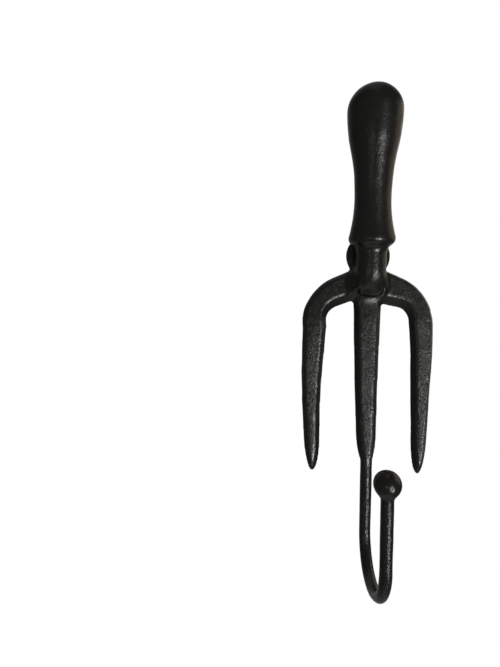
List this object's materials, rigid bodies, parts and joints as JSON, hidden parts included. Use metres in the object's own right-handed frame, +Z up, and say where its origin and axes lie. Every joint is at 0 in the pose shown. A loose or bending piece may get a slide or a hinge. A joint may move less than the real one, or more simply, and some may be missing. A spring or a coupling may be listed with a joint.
{
  "type": "garden tool hook",
  "caption": "Black cast-iron wall hook shaped like a small hand fork: turned handle and ferrule with a round wall boss behind, bevelled tines, and a J hook with a ball end.",
  "frame": {"origin": "centre of the wall boss's back face, at the mouth of its hanging hole, on the wall plane", "axes": "+Z up along the hook as it hangs, +Y back into the wall, so the J stands out towards -Y, and +X to the viewer's right from the front"},
  "size_m": [0.0608, 0.0468, 0.2232],
  "materials": {
    "black_paint": "satin black paint over a sand-cast skin"
  },
  "bodies": {
    "root": {"fork_hook": "black_paint"}
  },
  "joints": []
}
